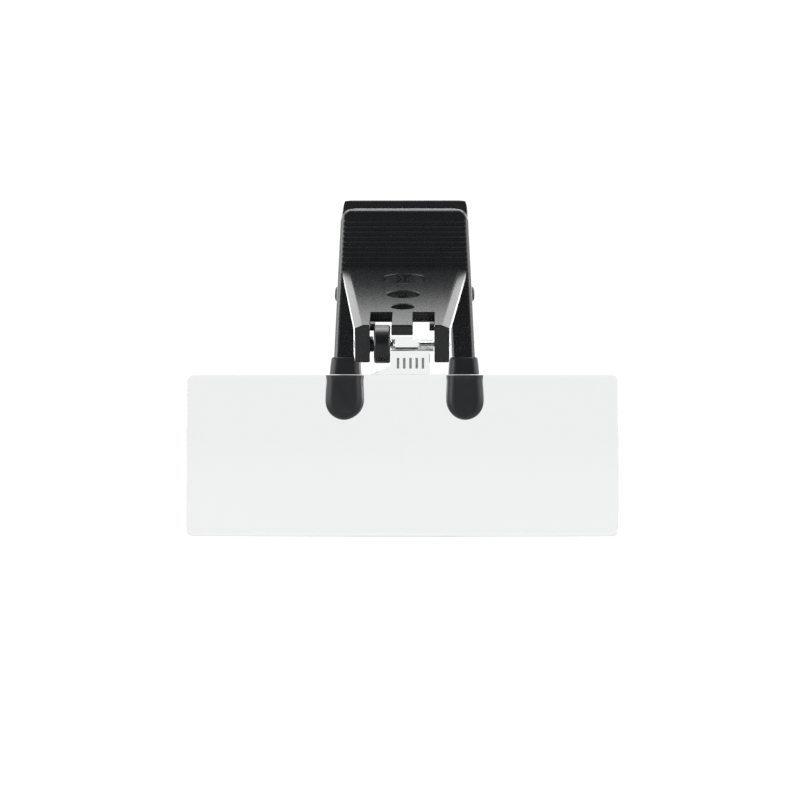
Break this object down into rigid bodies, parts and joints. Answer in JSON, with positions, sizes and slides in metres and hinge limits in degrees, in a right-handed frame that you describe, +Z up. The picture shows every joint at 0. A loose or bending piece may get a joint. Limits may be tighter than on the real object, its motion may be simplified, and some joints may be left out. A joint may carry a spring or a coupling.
{
  "type": "clip-on flip-up magnifier",
  "caption": "Sprung clip with two finger tabs and soft jaws that holds a wide clear rectangular magnifier, hinged to flip up, in front of a pair of spectacles.",
  "frame": {"origin": "middle of the jaw gap, between the front and rear boots, where the spectacle lens is gripped", "axes": "+Z up as worn, -Y forwards from the wearer's face towards the viewer, +X to the viewer's right along the lens's long side"},
  "size_m": [0.0728, 0.0589, 0.0616],
  "materials": {
    "moulded_black": "satin",
    "soft_silicone": "satin",
    "blackened_steel": "satin",
    "bright_steel": "satin",
    "spring_wire": "satin",
    "clear_acrylic": "polished"
  },
  "bodies": {
    "root": {"front_lever": "moulded_black", "front_left_boot": "soft_silicone", "front_right_boot": "soft_silicone", "pivot_pin": "blackened_steel", "pivot_pin_cap": "blackened_steel", "jaw_spring_left": "spring_wire", "jaw_spring_right": "spring_wire", "hinge_pin": "bright_steel", "plunger_spring": "spring_wire"},
    "rear_jaw": {"rear_lever": "moulded_black", "rear_left_boot": "soft_silicone", "rear_right_boot": "soft_silicone"},
    "flip_lens": {"lens": "clear_acrylic"},
    "plunger": {"release_plunger": "moulded_black"}
  },
  "joints": [
    {"name": "jaw_pivot", "type": "hinge", "parent": "root", "child": "rear_jaw", "pos_m": [0, 0, 0.02], "axis": [1, 0, 0], "range_deg": [-5.2, 28], "stiffness_Nm_per_rad": 0.06, "springref_deg": -51.57, "deforming": ["jaw_spring_left", "jaw_spring_right"]},
    {"name": "lens_flip", "type": "hinge", "parent": "root", "child": "flip_lens", "pos_m": [0, -0.04416, 0.00945], "axis": [-1, 0, 0], "range_deg": [0, 100]},
    {"name": "plunger_slide", "type": "slide", "parent": "root", "child": "plunger", "axis": [-1, 0, 0], "range_m": [0, 0.0005], "stiffness_N_per_m": 500, "springref_m": -0.001, "deforming": ["plunger_spring"]}
  ]
}
